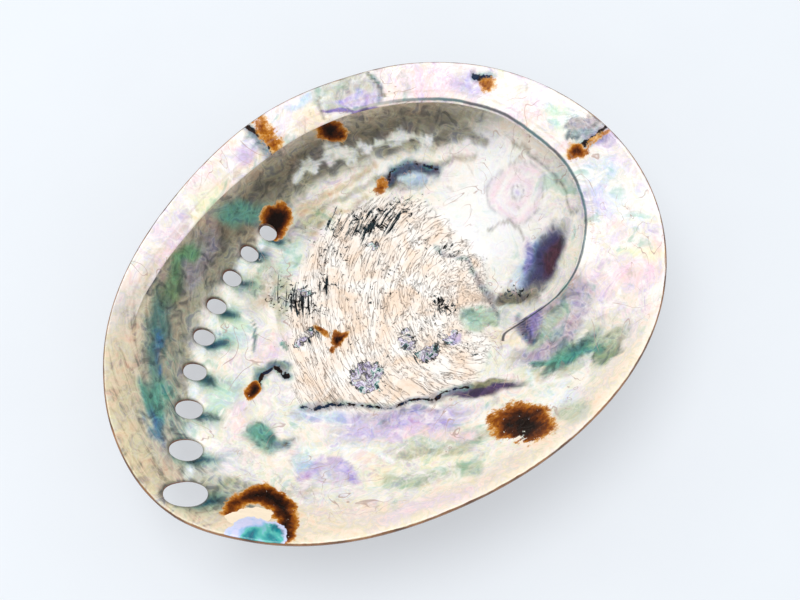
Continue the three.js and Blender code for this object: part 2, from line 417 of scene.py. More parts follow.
class Skin:
    """The points of the shell with the side of the wall each is on, and its faces."""

    def __init__(self):
        angles = np.arange(COLUMNS) * 360 / COLUMNS
        r, z, sides = loft(angles)
        x, y = plan(r, angles[None, :])
        at = np.arange(r.size).reshape(r.shape)
        for row in range(1, len(r)):
            still = np.hypot(r[row] - r[row - 1], z[row] - z[row - 1]) < 1e-3
            at[row, still] = at[row - 1, still]
        middles = [(0, 0, inside(0.0, 0.0)), (0, 0, outside(0.0, 0.0))]
        self.points = np.vstack([np.stack([x, y, z], -1).reshape(-1, 3), middles])
        self.sides = np.concatenate([np.repeat(sides, COLUMNS), [BOWL, BACK]])
        beside = np.roll(at, -1, axis=1)
        quads = np.stack([at[:-1], at[1:], beside[1:], beside[:-1]], -1).reshape(-1, 4)
        inner_fan = np.stack([np.full(COLUMNS, r.size), at[0], beside[0]], -1)
        outer_fan = np.stack([np.full(COLUMNS, r.size + 1), beside[-1], at[-1]], -1)
        self.triangles = np.vstack([quads[:, [0, 1, 2]], quads[:, [0, 2, 3]], inner_fan, outer_fan])
        t = self.triangles
        real = (t[:, 0] != t[:, 1]) & (t[:, 1] != t[:, 2]) & (t[:, 0] != t[:, 2])
        self.triangles = t[real]

    def open_hole(self, hole):
        """Takes the wall away round one hole and puts a rounded collar there."""
        rings = collar(hole)
        inner = self.cut(hole, COLLAR_MARGIN, inside, False)
        outer = self.cut(hole, COLLAR_MARGIN, outside, True)
        first = len(self.points)
        self.points = np.vstack([self.points, *[points for points, _ in rings]])
        sides = np.repeat([side for _, side in rings], COLLAR_POINTS)
        self.sides = np.concatenate([self.sides, sides])
        at = first + np.arange(len(rings) * COLLAR_POINTS).reshape(len(rings), COLLAR_POINTS)
        beside = np.roll(at, -1, axis=1)
        a, b, c, d = at[:-1].ravel(), beside[:-1].ravel(), beside[1:].ravel(), at[1:].ravel()
        band = np.vstack([np.stack([a, b, c], -1), np.stack([a, c, d], -1)])
        zips = [self.zip(hole, inner, at[0]), self.zip(hole, outer, at[-1])[:, ::-1]]
        self.triangles = np.vstack([self.triangles, band, *zips])

    def cut(self, hole, margin, surface, back):
        """Drops the faces of one side within the margin, and draws the points round the gap to its oval."""
        at, half = (hole["x"], hole["y"]), np.add(hole["half"], margin + COLLAR_GAP)
        close = oval_gap(self.points[:, 0], self.points[:, 1], at, half, HOLE_AXIS) < 1
        near = close[self.triangles].any(1)
        near &= (self.sides[self.triangles].max(1) == BACK) == back
        kept = np.unique(self.triangles[~near])
        dropped = np.unique(self.triangles[near])
        self.triangles = self.triangles[~near]
        border = np.intersect1d(kept, dropped)
        offset = self.points[border, :2] - at
        x, y = (at + offset / oval_gap(*self.points[border, :2].T, at, half, HOLE_AXIS)[:, None]).T
        self.points[border] = np.stack([x, y, surface(*polar(x, y))], -1)
        return border

    def zip(self, hole, border, ring_points):
        """Triangles between the border of a gap and the first ring of its collar."""
        def turned(which):
            offset = self.points[which, :2] - (hole["x"], hole["y"])
            angle = np.arctan2(offset[:, 1], offset[:, 0])
            order = np.argsort(angle)
            return which[order], angle[order]

        outer, outer_angle = turned(border)
        inner, inner_angle = turned(ring_points)
        i, j, made = 0, 0, []
        while i < len(outer) or j < len(inner):
            next_outer = outer_angle[i + 1] if i + 1 < len(outer) else outer_angle[0] + 2 * np.pi
            next_inner = inner_angle[j + 1] if j + 1 < len(inner) else inner_angle[0] + 2 * np.pi
            a, b = outer[i % len(outer)], inner[j % len(inner)]
            if j >= len(inner) or (i < len(outer) and next_outer < next_inner):
                made.append((a, outer[(i + 1) % len(outer)], b))
                i += 1
            else:
                made.append((a, inner[(j + 1) % len(inner)], b))
                j += 1
        return np.array(made)


def collar(hole):
    """Rings of points from the inside of the wall, through the hole, to its back."""
    turn = np.arange(COLLAR_POINTS) * 2 * np.pi / COLLAR_POINTS
    c, s = np.cos(HOLE_AXIS * RAD), np.sin(HOLE_AXIS * RAD)

    def place(grow):
        u, v = (hole["half"][0] + grow) * np.cos(turn), (hole["half"][1] + grow) * np.sin(turn)
        return hole["x"] + u * c - v * s, hole["y"] + u * s + v * c

    def ring_at(grow, surface, drop, side):
        x, y = place(grow)
        return np.stack([x, y, surface(*polar(x, y)) + drop], -1), side

    rings = []
    for t in (1, 0.85, 0.7, 0.5, 0.3, 0.15, 0.05, 0):
        fall = COLLAR_ROUND * (1 - np.sqrt(1 - (1 - t) ** 2))
        rings.append(ring_at(COLLAR_MARGIN * t, inside, -fall, BOWL))
    for t in (0.05, 0.15, 0.3, 0.5, 0.7, 0.85, 1):
        rise = COLLAR_ROUND * (1 - np.sqrt(1 - (1 - t) ** 2)) * 0.7
        rings.append(ring_at(COLLAR_MARGIN * t, outside, rise, BACK))
    return rings


# ---- colours ----
def colour(code):
    """A linear colour from its six-figure screen code."""
    channels = [int(code[i : i + 2], 16) / 255 for i in (0, 2, 4)]
    return np.array([c / 12.92 if c <= 0.04045 else ((c + 0.055) / 1.055) ** 2.4 for c in channels])


def colours(codes):
    return [colour(code) for code in codes.split()]


CREAM, PEACH, BUTTER = colours("F9F2EA FBE6D2 F8F2D4")
PINK, LILAC, ICE = colours("F8DDE8 CDBBE6 C6DBF0")
INDIGO, WINE, UMBER = colours("39335E 4A1F30 6B6152")
WHITE, MINT, SAGE = colours("FDFDFD CFEBDD A9BDA8")
TEAL, DEEP_TEAL, BLUE, NAVY = colours("4F9488 1F6468 2F6796 1B2C50")
GREEN, MOSS, OLIVE = colours("5C9668 66805F 97926E")
MAUVE, VIOLET, PURPLE = colours("A0929C 8671B4 4C3A62")
TAUPE, TAN, GREY, SLATE = colours("9A9080 D8C2A4 AFA9A2 7F929C")

# Soft patches of colour: side, middle, half length, half width, direction of the length, colour, strength
PATCHES = [
    (BOWL, (-64.5, 17.5), (18, 3.6), 59, TAUPE, 0.85),  # streaks on the wall under the shelf
    (BOWL, (-43, 43), (11, 3), 40, MAUVE, 0.8),
    (BOWL, (-24, 50.8), (8.5, 3), 168, TEAL, 0.8),
    (BOWL, (-47, 44.5), (7, 1.8), 29, GREEN, 0.85),
    (BOWL, (-55, 38), (7.5, 1.9), 33, MOSS, 0.9),
    (BOWL, (-65, 26), (10, 2.8), 60, DEEP_TEAL, 0.85),
    (BOWL, (-74.5, 10), (11, 2.8), 62, TEAL, 0.95),
    (BOWL, (-79.5, 0.5), (5, 1.8), 72, BLUE, 0.85),
    (BOWL, (-66.5, 22), (4, 1.2), 60, BLUE, 0.9),
    (BOWL, (-60, 39.5), (2.4, 1.2), 50, NAVY, 0.95),
    (BOWL, (-45, 22), (7.2, 5.4), 40, MINT, 0.8),  # between the holes and the scar
    (BOWL, (-45, 26), (4.2, 2.7), 40, BUTTER, 0.7),
    (BOWL, (-56, 3), (6.6, 4.2), 30, MINT, 0.8),
    (BOWL, (-35, 12), (7.8, 4.2), 10, PINK, 0.7),
    (BOWL, (-56, -4), (6, 3.6), 40, PINK, 0.6),
    (BOWL, (-28, 29), (9, 4.2), 30, TAUPE, 0.5),
    (BOWL, (-7, 42), (9, 3.6), 15, OLIVE, 0.6),
    (BOWL, (-26, 24), (8, 2.4), 60, OLIVE, 0.5),
    (BOWL, (-17, 34), (7.8, 2.4), 30, MINT, 0.6),
    # The white of the spire pocket is partly the nacre's own colour and partly a painted highlight.
    (BOWL, (45, 17), (22.5, 16.5), 30, WHITE, 0.95),  # the spire pocket
    (BOWL, (31, 38), (10, 3.4), 156, BLUE, 0.6),  # the eye
    (BOWL, (31.5, 37), (6, 1.6), 156, ICE, 0.8),
    (BOWL, (27, 37.5), (3, 1.2), 150, GREY, 0.8),
    (BOWL, (25, 40), (3, 1.4), 20, UMBER, 0.9),
    (BOWL, (50, -6), (9, 3.6), 36, ICE, 0.9),  # the dark patch at the end of the pocket
    (BOWL, (51.5, -7), (9, 3), 36, BLUE, 0.75),
    (BOWL, (54, -8), (12.5, 4.2), 36, INDIGO, 1.0),
    (BOWL, (56, -8), (6, 1.8), 40, WINE, 0.9),
    (BOWL, (51, -3), (5, 1.4), 50, VIOLET, 0.7),
    (BOWL, (42, -12), (7, 3.4), 160, TAUPE, 0.85),
    (BOWL, (27, -12), (8.5, 6.5), 160, SAGE, 0.9),  # where the scar is worn smooth
    (BOWL, (25, -10), (4, 2.5), 100, TEAL, 0.45),
    (BOWL, (17, -14.5), (3.6, 2.6), 150, LILAC, 0.9),
    (BOWL, (-12, -32), (22.5, 3.9), 158, LILAC, 0.85),  # bands below the scar
    (BOWL, (-34, -16), (9, 2.7), 142, ICE, 0.8),
    (BOWL, (12, -31), (10.8, 1.2), 152, OLIVE, 0.9),
    (BOWL, (13, -34.5), (12.6, 2.4), 152, PURPLE, 1.0),
    (BOWL, (-10, -28), (14, 1.8), 158, VIOLET, 0.6),
    (BOWL, (-6, -43), (12, 3.6), 160, SAGE, 0.5),
    (BOWL, (46, -35), (17, 9), 20, mix(SAGE, MOSS, 0.35), 0.85),  # between the notch and the rim
    (BOWL, (37, -27), (8, 3), 15, VIOLET, 0.55),
    (BOWL, (43, -41), (9, 2.2), 3, DEEP_TEAL, 0.8),
    (BOWL, (48, -42), (3.6, 1.8), 0, GREEN, 0.8),
    (BOWL, (35, -25), (6.6, 1.8), 0, VIOLET, 0.85),
    (BOWL, (37, -32), (10.2, 3.9), 175, MAUVE, 0.45),
    (BOWL, (62, -38), (4, 8), 40, LILAC, 0.7),
    (BOWL, (30, -57), (4.2, 4.2), 150, SAGE, 0.6),
    (BOWL, (28.5, -50), (6, 3), 150, WHITE, 0.8),
    (BOWL, (-33, 38), (5, 1.6), 30, WHITE, 0.6),
    (BOWL, (-40, -33), (7.2, 3.9), 120, LILAC, 0.7),  # folds in the front of the bowl
    (BOWL, (-45, -28), (4.8, 3.6), 90, ICE, 0.8),
    (BOWL, (-50, -36), (4.8, 2.4), 0, MAUVE, 0.4),
    (BOWL, (-53, -14), (5.6, 4.4), 130, TEAL, 0.85),
    (BOWL, (-48, -19), (4.2, 1.8), 160, SLATE, 0.7),
    (BOWL, (-16, -48), (18, 6), 155, BUTTER, 0.6),
    (BOWL, (-46, -48), (21, 4.8), 155, PEACH, 0.8),
    (BOWL, (-10, -65), (27, 4.2), 172, PEACH, 0.7),
    (BOWL, (-20, -60), (15, 3), 165, PINK, 0.6),
    (SHELF, (-33, 53), (6.6, 3.6), 20, BUTTER, 0.8),  # along the shelf, from the holes' side to the spire
    (SHELF, (-50, 43), (7.8, 3.6), 28, PINK, 0.9),
    (SHELF, (-50, 36), (4.2, 3), 20, SAGE, 0.5),
    (SHELF, (-14, 61), (4.2, 3), 15, LILAC, 0.8),
    (SHELF, (-10, 62), (2.2, 6.5), 5, SLATE, 0.9),
    (SHELF, (65, 44), (1.8, 2.2), 0, BUTTER, 0.9),
    (SHELF, (9, 60), (7.8, 3.6), 178, PEACH, 0.9),
    (SHELF, (8, 67), (4.2, 1.8), 0, ICE, 0.8),
    (SHELF, (44, 53), (10.2, 4.2), 150, PINK, 0.9),
    (SHELF, (55, 46), (4.8, 4.2), 150, LILAC, 0.8),
    (SHELF, (70, 27), (8.4, 3.6), 120, PINK, 0.7),
    (SHELF, (75, 21), (6, 3.3), 120, MINT, 0.9),
    (SHELF, (80, 13), (8.4, 2.7), 122, VIOLET, 0.6),
    (SHELF, (74, -9), (3.6, 9), 45, LILAC, 0.8),
    (SHELF, (75, -1), (6, 6.6), 150, ICE, 0.5),
    (SHELF, (80, -14), (4.2, 12), 50, WHITE, 0.8),
    (SHELF, (69, -32), (4.2, 7.8), 45, PINK, 0.9),
    (SHELF, (76, -29), (2.1, 12), 50, BUTTER, 0.8),
    (SHELF, (57, -26), (3, 6.6), 30, PINK, 0.8),
]

# Patches with a clear outline, laid over the soft ones
CLEAR_PATCHES = [
    (SHELF, (21, 63), (10.5, 6), 165, mix(GREY, CREAM, 0.3), 0.95),  # the grey panel of the shelf
    (SHELF, (14, 63), (4, 5), 165, mix(SAGE, CREAM, 0.4), 0.6),
    (SHELF, (24, 59.5), (7, 1.8), 162, LILAC, 0.9),
    (SHELF, (20, 57.5), (10, 0.9), 162, VIOLET, 0.95),
    (SHELF, (31, 61), (0.8, 5.5), 15, UMBER, 0.8),
    (SHELF, (11, 61), (0.5, 5), 160, TAUPE, 0.7),
    (SHELF, (80, 16), (6, 2.6), 160, MAUVE, 0.9),  # the haze over the dark line at the spire end
    (SHELF, (77, 14), (5, 1.2), 165, SLATE, 0.9),
    (BOWL, (51, -46), (7.4, 2.6), 16, MOSS, 0.9),
    (BOWL, (38, -38.5), (9, 2.4), 25, TEAL, 0.6),
    (BOWL, (46, -40.5), (8, 1.9), 5, DEEP_TEAL, 0.8),
    (BOWL, (12, -31.2), (12, 1.5), 152, OLIVE, 0.9),
    (BOWL, (13, -34.3), (12, 1.9), 152, PURPLE, 0.95),
    (ANY, (44, -30), (14, 6.5), 20, mix(MAUVE, LILAC, 0.35), 0.8),
    (ANY, (36.5, -24), (6.5, 2.4), 25, VIOLET, 0.75),
    (BOWL, (-39, 17), (5, 0.7), 60, DEEP_TEAL, 0.8),
    (BOWL, (-33, 11.5), (2.5, 0.9), 100, TEAL, 0.9),
    (BOWL, (-31, 31.5), (5, 1.2), 60, SAGE, 0.7),
    (ANY, (41, -29), (8, 2.6), 20, SAGE, 0.7),
    (ANY, (30, -23), (8, 2.8), 112, mix(CREAM, PEACH, 0.6), 1.0),  # the pillar at the notch
    (ANY, (39, -25), (6, 1.6), 35, VIOLET, 0.8),
    # Painted shade: a thin navy line in the gap beside the notch's pillar.
    (ANY, (35.5, -25), (5, 0.9), 95, NAVY, 0.85),
    (BOWL, (-52.5, -13), (4.2, 2.4), 140, TEAL, 0.7),
    (BOWL, (-48.5, -18), (3, 1.6), 150, SLATE, 0.9),
    (BOWL, (-47.8, -18.8), (0.9, 0.5), 150, UMBER, 1.0),
    (BOWL, (40.5, -12), (6, 2.2), 160, UMBER, 0.9),
]

# Soft strokes: side, colour, half width, strength, the points that the middle runs through
STROKES = [
    (BOWL, LILAC, 2, 0.9, [(-47, -32), (-40, -30), (-35, -35), (-36, -40)]),  # folds in the front of the bowl
    # Painted highlight along the top of a fold.
    (BOWL, WHITE, 1, 0.9, [(-44, -24), (-34, -28), (-26, -34), (-21, -42)]),
    (BOWL, MINT, 1, 1.0, [(-36, -9), (-21, -18), (-9, -23)]),
    (BOWL, OLIVE, 1.3, 0.6, [(-75, -24), (-66, -24), (-57, -31)]),
    (BOWL, TAN, 1.3, 0.8, [(-7, 46), (8, 48), (22, 46)]),  # between the sealed holes and the scar
    (BOWL, OLIVE, 1, 0.5, [(-7, 43), (7, 45), (23, 42)]),
    (BOWL, TAN, 1, 0.8, [(-7, 39), (4, 41), (16, 41)]),
    (BOWL, GREY, 0.5, 0.9, [(63, 27), (66, 18), (69, 7), (68, -2)]),  # thin folds in the spire pocket
    (BOWL, GREY, 0.6, 0.8, [(44, 11), (52, 8), (53, 3)]),
    (BOWL, UMBER, 1.8, 0.7, [(45, 43), (52, 38), (55, 34)]),
    (BOWL, TAUPE, 1.2, 0.6, [(38, 38), (45, 36), (51, 32)]),
    (ANY, TEAL, 1.4, 0.8, [(32, -36), (38, -40), (49, -45)]),  # round the notch
    (BOWL, WHITE, 0.8, 0.9, [(28, -37), (27, -43), (34, -47), (33, -52)]),
    (BOWL, SAGE, 2.5, 0.7, [(-26, -47), (-16, -52), (-3, -56)]),
    (BOWL, PINK, 2.5, 0.8, [(-18, -33), (-8, -37), (3, -47)]),
    (BOWL, OLIVE, 2, 0.5, [(-18, -42), (-4, -48), (8, -50)]),
    (BOWL, DEEP_TEAL, 1.8, 0.75, [(-47, 2), (-44, 6), (-38, 6.5), (-34, 3)]),
    (BOWL, NAVY, 1.8, 0.9, [(23, 41), (28, 41), (34, 39.5), (40, 36)]),
]

# Brown stains of the horny layer that shows through: side, middle, half sizes, direction, depth
STAINS = [
    (BOWL, (16.5, -52), (9.5, 8), 150, 4.0),
    (BOWL, (12.6, 58.6), (6.4, 3.4), 165, 3.6),
    (BOWL, (-14.6, 46), (5.4, 4.6), 10, 4.2),
    (BOWL, (21, 40.9), (2.6, 1.2), 30, 1.2),
    (BOWL, (-48.3, 0.7), (2.2, 3.2), 120, 3.6),
    (BOWL, (-15.5, 5.2), (3.6, 1.7), 170, 2.8),
    (BOWL, (-16, 5.8), (1.7, 3), 160, 2.8),
    (BOWL, (-19, 9.5), (1.1, 2.8), 30, 1.6),
    (BOWL, (-19.5, 3), (1.6, 1.1), 60, 1.2),
    (SHELF, (-6, 63), (4.0, 8), 5, 1.3),
    (SHELF, (60, 42.5), (3.0, 1.8), 130, 1.3),
    (SHELF, (73, 10.5), (3.6, 2.6), 160, 2.2),
    (SHELF, (80, 10.5), (6, 0.9), 178, 0.8),
]
# Middle of the arched stain beside the rim
ARCH = [(-71, -34), (-66.5, -30.5), (-60.5, -31), (-58, -36), (-58, -42), (-59.5, -47)]
# Dark lines: side, half width, the points that the middle runs through
INK_LINES = [
    (BOWL, 0.5, [(-38, -10), (-29, -14), (-21, -19), (-10, -25), (0, -28), (12, -31)]),
    (BOWL, 0.75, [(-46, 1), (-43, 4.5), (-38.5, 5), (-35, 0)]),
    (BOWL, 0.4, [(21, 41), (26, 42.5), (32, 41.5), (38, 38.5), (41, 36)]),
    # Painted shade: the dark line in the gap beside the notch's pillar.
    (ANY, 0.3, [(38, -19), (35, -22), (34, -26), (36, -30)]),
    (BOWL, 0.1, [(28, 16), (33, 8), (34, 0), (34.5, -8), (33, -14)]),
    (SHELF, 0.6, [(86, 12), (79, 11), (72, 12)]),
    (SHELF, 1.5, [(59, 47), (60, 44)]),
    (SHELF, 0.9, [(-12, 68), (-9, 63), (-7, 58)]),
    (SHELF, 0.1, [(31, 63), (32, 60), (30.5, 57)]),
]
# Worn places in the scar: middle, half sizes, direction
SMOOTH_SPOTS = [((27, -12), (7.5, 5.6), 150), ((17, -14.5), (3, 2.2), 150)]
# Windows in the scar where nacre shows, with a dark outline: middle, half sizes, direction
WINDOWS = [
    ((-14, -11), (4.4, 5.6), 110), ((3.5, -7), (2.2, 3.4), 60), ((6.5, -14.5), (3, 3.8), 100),
    ((15.5, -12.5), (3.2, 2), 150), ((-25, 10), (1.6, 4), 100),
    ((-19, 23), (1.8, 3.6), 70), ((9, 26.5), (2.2, 1.2), 150),
]
# Patches of dark flecks in the scar: middle, half sizes, direction, strength
FLECKS = [
    ((14, 33), (17, 5.5), 165, 0.95), ((-21, 22), (6, 10), 40, 0.9), ((8, 20), (7, 3.5), 150, 0.5),
    ((19, -3), (5, 4), 150, 0.95), ((-14, -11), (7, 6), 120, 0.6), ((6, -13), (5, 7), 100, 0.8),
    ((-24, 10), (3, 9), 80, 0.7), ((-4, 30), (8, 4), 170, 0.7), ((17, -17), (6, 4), 120, 0.6),
    ((-10, 22), (4, 4), 0, 0.8), ((30, 12), (3, 12), 40, 0.5), ((42, -11), (5, 2.5), 150, 0.9),
    ((5, 8), (26, 24), 0, 0.25), ((-33, 31), (4, 1.5), 40, 0.4),
]


# ---- the colour and the marks at each point of the mesh ----
FAR = -9.0  # depth of a mark where there is none
MARK_RANGE = (-4, 9)  # depths that a field keeps
WALL_COMES, WALL_GOES = (22, 48), (200, 232)  # directions over which the wall's shade comes and goes
LEFT_WALL, LEFT_WIDTH = 182, 30  # direction of the holes' side, and how wide it is
RIM_BAND = (12, 5)  # distances from the rim where its cream band starts and is full
PEARL_RINGS = [  # distance from the pearl's middle, width, colour, strength
    (0, 1.2, LILAC, 0.8), (2.2, 0.45, MAUVE, 0.8), (4.2, 1, PINK, 0.8), (7.2, 0.9, PINK, 0.8),
    (8.6, 0.4, MAUVE, 0.5),
]
POCKET = ((46, 15), (20, 17), 30)  # the spire pocket: middle, half sizes, direction
CHIP = ((-67.5, -44), (9.5, 6), 150)  # blue-green nacre that a broken flake left at the rim
CRUMB = ((-67, -36.5), (6, 2.4), 165)  # the cream crumb behind it
CHIPPED = ((10, -57), (10, 4), 150)  # where the big stain has lost small flakes
ARCH_WIDTHS = ([-73, -62], [1.4, 4.0])  # half width of the arched stain by place along X

# How far out the shaded wall starts, as a share of the shelf's inner edge
wall_from = ring(
    (0, 1.1), (20, 1.0), (33, 0.94), (44, 0.9), (60, 0.87), (93, 0.86), (120, 0.81), (150, 0.8), (170, 0.84),
    (195, 0.92), (225, 1.1),
)


def smooth_patch(x, y, at, half, direction, fade=0.45):
    """1 well inside an oval, 0 well outside: fade is the share of its size over which it fades."""
    return 1 - ease(1 - fade, 1 + fade, oval_gap(x, y, at, half, direction))


class Paint:
    """Colour and mark fields over the points of a skin."""

    def __init__(self, skin):
        self.x, self.y, _ = skin.points.T
        self.r, self.angle = polar(self.x, self.y)
        shelf = np.where(skin.sides == SHELF, np.clip(shelf_strength(self.angle) * 1.6, 0, 1), 0)
        self.share = {SHELF: shelf, BOWL: 1 - shelf, ANY: np.ones_like(shelf)}
        self.rim_gap = rim_radius(self.angle) - self.r
        self.bend_places()
        self.scar = scar_share(self.x, self.y) * self.share[BOWL]
        for at, half, direction in SMOOTH_SPOTS:
            self.scar = self.scar * (1 - smooth_patch(self.wx, self.wy, at, half, direction, 0.2))
        self.fields = {"scar": self.scar, "rim_gap": self.rim_gap}
        self.tint = np.tile(CREAM, (len(self.x), 1))
        self.wash()
        self.patches()
        self.sealed_holes()
        self.blister_pearl()
        self.open_holes()
        self.lustre()
        self.marks()
        self.edges()

    def bend_places(self):
        """Places bent by noise (wx, wy), and those brushed along the wall as well (bx, by)."""
        self.wx = self.x + 1.8 * noise(self.x, self.y, 11, 21, 3)
        self.wy = self.y + 1.8 * noise(self.x, self.y, 11, 22, 3)
        on_wall = bell(self.angle - 175, 65) * ease(56, 66, self.r)
        brush = 6 * on_wall * noise(self.r, self.angle * 0.12, 2.2, 23, 2)
        self.bx = self.wx - brush * np.sin(self.angle * RAD)
        self.by = self.wy + brush * np.cos(self.angle * RAD)

    def lay(self, shade, share, side=ANY):
        """Lays a colour over the tint, on one side of the wall."""
        cover = np.clip(share * self.share[side], 0, 1)[:, None]
        self.tint = self.tint + (shade - self.tint) * cover

    def wash(self):
        """The wall under the shelf, partly its own taupe nacre and partly painted shade, the bands along the
        rim, and the shelf's own colour.
        """
        ragged = 0.03 * noise(self.x, self.y, 7, 31, 2)
        into = self.r / shelf_radius(self.angle) - wall_from(self.angle) + ragged
        shaded = ease(*WALL_COMES, self.angle) * (1 - ease(*WALL_GOES, self.angle)) * self.share[BOWL]
        under_shelf_shade = shaded * ease(0.0, 0.12, into)
        self.wall = shaded * ease(-0.035, 0.035, into)
        self.left = bell(self.angle - LEFT_WALL, LEFT_WIDTH)
        self.rim_band = ease(*RIM_BAND, self.rim_gap) * self.share[BOWL]
        # Painted shade: the wall under the shelf is taupe, partly its own grey nacre and partly painted shade
        # where it faces away from the light.
        self.lay(mix(TAUPE, OLIVE, 0.2), (0.95 - 0.3 * self.left) * self.wall)
        # Painted shade: umber darkening that grows deeper under the shelf's overhang.
        self.lay(UMBER, 0.9 * under_shelf_shade * (1 - self.left))
        self.lay(PEACH, 0.95 * self.rim_band)
        self.lay(TAN, 0.95 * self.left * self.rim_band)
        self.lay(mix(CREAM, PINK, 0.4), 0.8, SHELF)
        bevel = bell(self.r - shelf_radius(self.angle) - 1.0, 1.1) * ease(75, 95, self.angle)
        self.lay(TAN, 0.6 * bevel, SHELF)

    def patches(self):
        for patches, fade, over_scar in ((PATCHES, 0.45, 0), (CLEAR_PATCHES, 0.16, 0.8)):
            seen = 1 - self.scar * (1 - over_scar)
            for side, at, half, direction, shade, strength in patches:
                patch = smooth_patch(self.bx, self.by, at, half, direction, fade)
                self.lay(shade, patch * strength * seen, side)
        for side, shade, half_width, strength, points in STROKES:
            gap = path_gap(self.wx, self.wy, points) / half_width
            self.lay(shade, (1 - ease(0.4, 1.2, gap)) * strength * (1 - 0.8 * self.scar), side)

    def sealed_holes(self):
        """Painted light and shade on the sealed holes: a broken pale crest as painted highlight, and a brown
        hollow behind each as painted shade.
        """
        wave = 1.5 * noise(self.x, self.y, 3.5, 33, 3)
        crest = 1 - ease(0.7, 1.7, path_gap(self.wx, self.wy - 0.6, SEALED_HOLES) + wave)
        self.lay(mix(CREAM, WHITE, 0.5), 0.9 * crest, BOWL)
        for x, y in SEALED_HOLES:
            away = np.hypot((self.wx - x - 1) / 1.7, self.wy - y - 2.4)
            self.lay(mix(MAUVE, UMBER, 0.8), 0.9 * ease(0.3, 0.8, bell(away, 1.5)), BOWL)

    def blister_pearl(self):
        away = np.hypot(self.wx - PEARL[0], self.wy - PEARL[1])
        for reach, width, shade, strength in PEARL_RINGS:
            self.lay(shade, strength * bell(away - reach, width), BOWL)

    def open_holes(self):
        for hole in HOLES:
            self.shade_hole(hole)
        # Painted highlights: small white glints on the wall between neighbouring holes.
        for a, b in zip(HOLES[:-1], HOLES[1:]):
            between = ((a["x"] + b["x"]) / 2 + 0.6, (a["y"] + b["y"]) / 2 - 0.5)
            self.lay(WHITE, smooth_patch(self.x, self.y, between, (2.2, 1.3), 60), BOWL)

    def shade_hole(self, hole):
        """Painted shade round a hole: teal and dark navy on its near side, where the wall turns down into it,
        mauve on its far side, and an umber ring on its edge.
        """
        a, b = hole["half"]
        near = (hole["x"] + 0.6 * a, hole["y"] - b - 0.9)
        far = (hole["x"] - 0.9 * a, hole["y"] + 0.3 * b)
        shade_fringe = smooth_patch(self.wx, self.wy, near, (a * 1.5, 3.2), HOLE_AXIS, 0.7)
        shadow = smooth_patch(self.wx, self.wy, near, (a * 1.1, 1.5), HOLE_AXIS, 0.6)
        behind = smooth_patch(self.x, self.y, far, (1.4, b * 0.9), HOLE_AXIS, 0.7)
        edge = oval_gap(self.x, self.y, (hole["x"], hole["y"]), hole["half"], HOLE_AXIS) - 1
        self.lay(TEAL, 0.7 * shade_fringe, BOWL)
        self.lay(mix(NAVY, DEEP_TEAL, 0.5), shadow, BOWL)
        self.lay(MAUVE, 0.55 * behind, BOWL)
        self.lay(UMBER, 0.7 * bell(edge, 0.12), BOWL)

    def lustre(self):
        """Where the nacre shimmers, and where its clouds and its water colours show."""
        # Painted highlight: the pastel drift is held back in the spire pocket, so that its white stays
        # bright.
        pocket = smooth_patch(self.x, self.y, *POCKET) * self.share[BOWL]
        self.fields["sheen"] = 0.75 * (1 - self.scar) * (1 - 0.65 * pocket)
        # Where the wall's taupe, partly painted shade, lies, for the streaks laid over it in the material.
        self.fields["wall"] = self.wall
        self.fields["clouds"] = np.clip(1 - self.wall - 0.85 * self.rim_band - self.scar, 0, 1)
        self.fields["water"] = np.clip(0.55 * self.wall * self.left * (1 - self.rim_band), 0, 1)

    def inside_oval(self, at, half, direction, depth):
        """Depth inside an oval, up to depth at its middle, and below 0 outside."""
        return (1 - oval_gap(self.wx, self.wy, at, half, direction)) * depth

    def deepest(self, marks):
        """The greatest of the depths of some marks, each given as its side of the wall and its depth."""
        deepest = np.full(len(self.x), FAR)
        for side, depth in marks:
            deepest = np.maximum(deepest, np.where(self.share[side] > 0.5, depth, FAR))
        return np.clip(deepest, *MARK_RANGE)

    def marks(self):
        stains = [(side, self.inside_oval(*oval_and_depth)) for side, *oval_and_depth in STAINS]
        arch = np.interp(self.x, *ARCH_WIDTHS) - path_gap(self.wx, self.wy, ARCH)
        stains.append((BOWL, arch * 0.75))
        inks = [(side, width - path_gap(self.wx, self.wy, points)) for side, width, points in INK_LINES]
        windows = [(ANY, self.inside_oval(at, half, turn, min(half))) for at, half, turn in WINDOWS]
        fleck = np.zeros(len(self.x))
        for at, half, direction, strength in FLECKS:
            fleck = np.maximum(fleck, strength * smooth_patch(self.x, self.y, at, half, direction, 0.7))
        self.fields["stain"] = self.deepest(stains)
        self.fields["ink"] = self.deepest(inks)
        self.fields["window"] = self.deepest(windows)
        self.fields["fleck"] = fleck * self.share[BOWL]
        self.fields["chip"] = smooth_patch(self.wx, self.wy, *CHIP, 0.25)
        self.fields["crumb"] = smooth_patch(self.wx, self.wy, *CRUMB, 0.3)
        self.fields["chipped"] = smooth_patch(self.x, self.y, *CHIPPED, 0.8)

    def edges(self):
        """Distance from the shelf's inner edge, where a dark line runs on it, and the age of the back."""
        edge = np.where(self.share[SHELF] > 0.3, self.r - shelf_radius(self.angle), 9)
        self.fields["shelf_edge"] = np.clip(edge, -2, 9)
        signed = (self.angle + 180) % 360 - 180
        self.fields["edge_ink"] = ease(-70, -45, signed) * ease(85, 40, signed)
        reach, turn, _ = on_spiral(self.x, self.y)
        self.fields["age"] = reach / rim_reach(turn)


